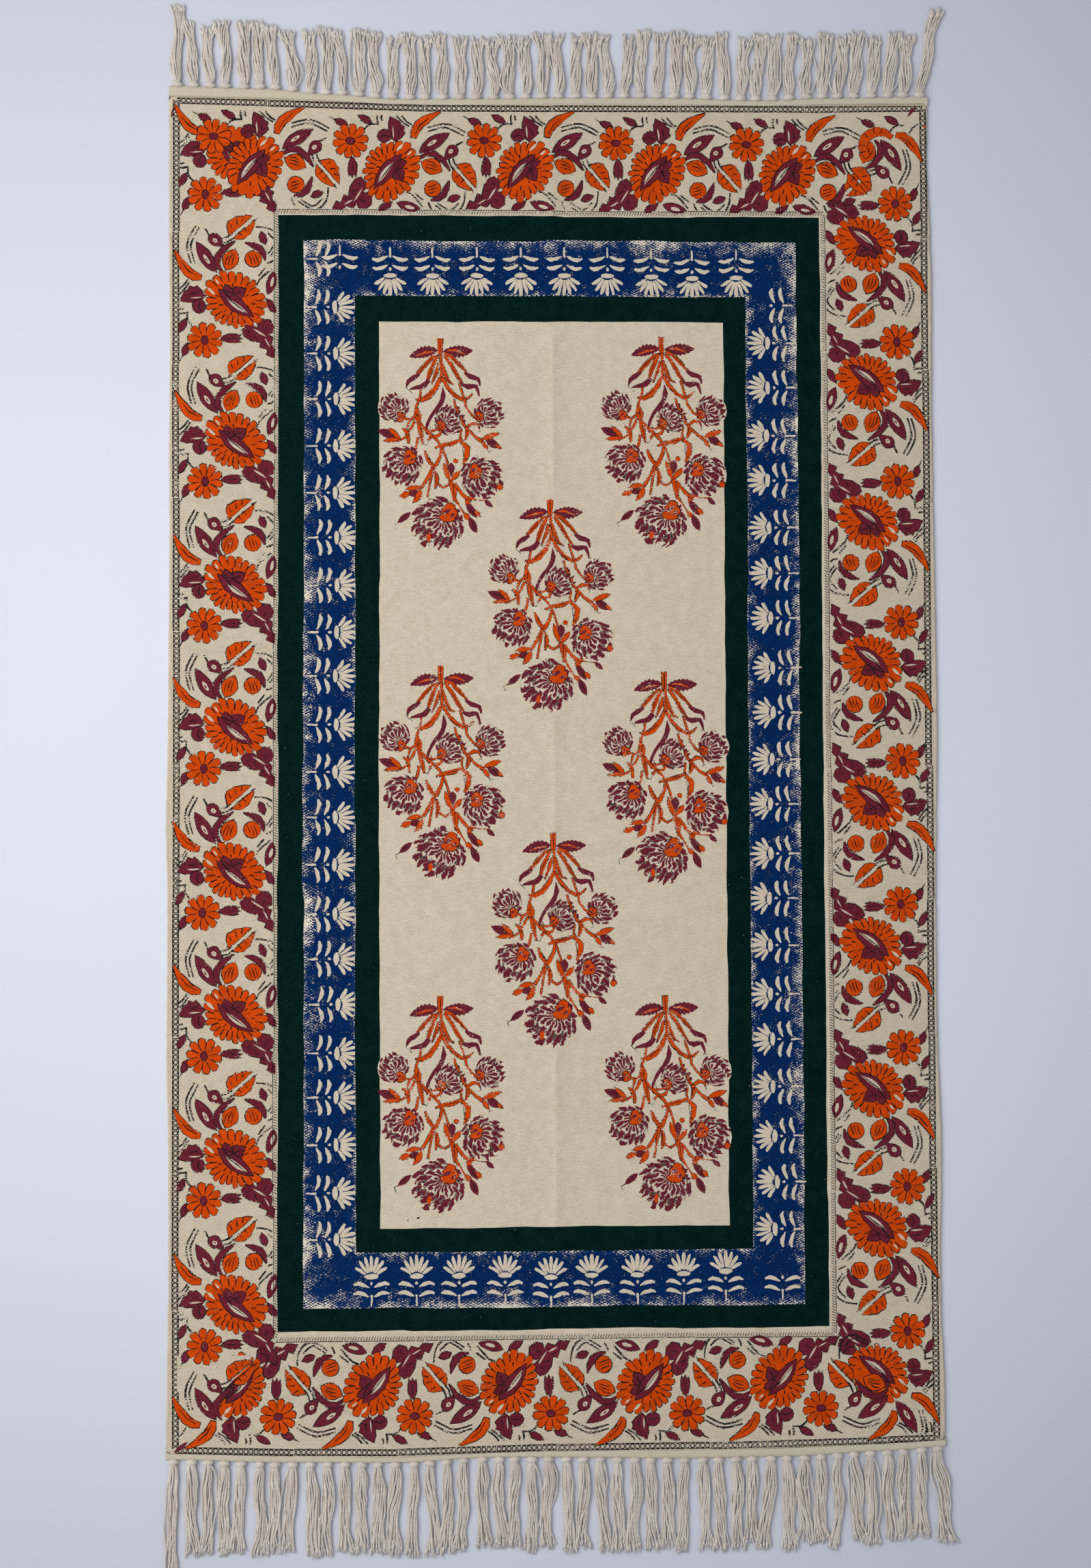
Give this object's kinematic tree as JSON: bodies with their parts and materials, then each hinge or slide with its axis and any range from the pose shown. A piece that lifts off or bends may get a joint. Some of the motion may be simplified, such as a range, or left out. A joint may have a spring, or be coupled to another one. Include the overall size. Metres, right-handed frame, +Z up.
{
  "type": "fringed dhurrie rug",
  "caption": "Flat rectangular woven cotton rug, printed on one side, with a header band and knotted fringe at both ends.",
  "frame": {"origin": "middle of the woven body's flat underside", "axes": "+Y along the rug's length towards the top fringe, +X across it, +Z up, out of the printed face"},
  "size_m": [0.9203, 1.8276, 0.0074],
  "materials": {
    "printed_cotton": "matt, coarse plain-woven cream cotton with block-printed flowers in deep blue, green, orange and maroon",
    "fringe_cotton": "matt, undyed off-white plied cotton yarn, knotted and left loose"
  },
  "bodies": {
    "root": {"rug_cloth": "printed_cotton", "fringe_top": "fringe_cotton", "fringe_bottom": "fringe_cotton"}
  },
  "joints": []
}
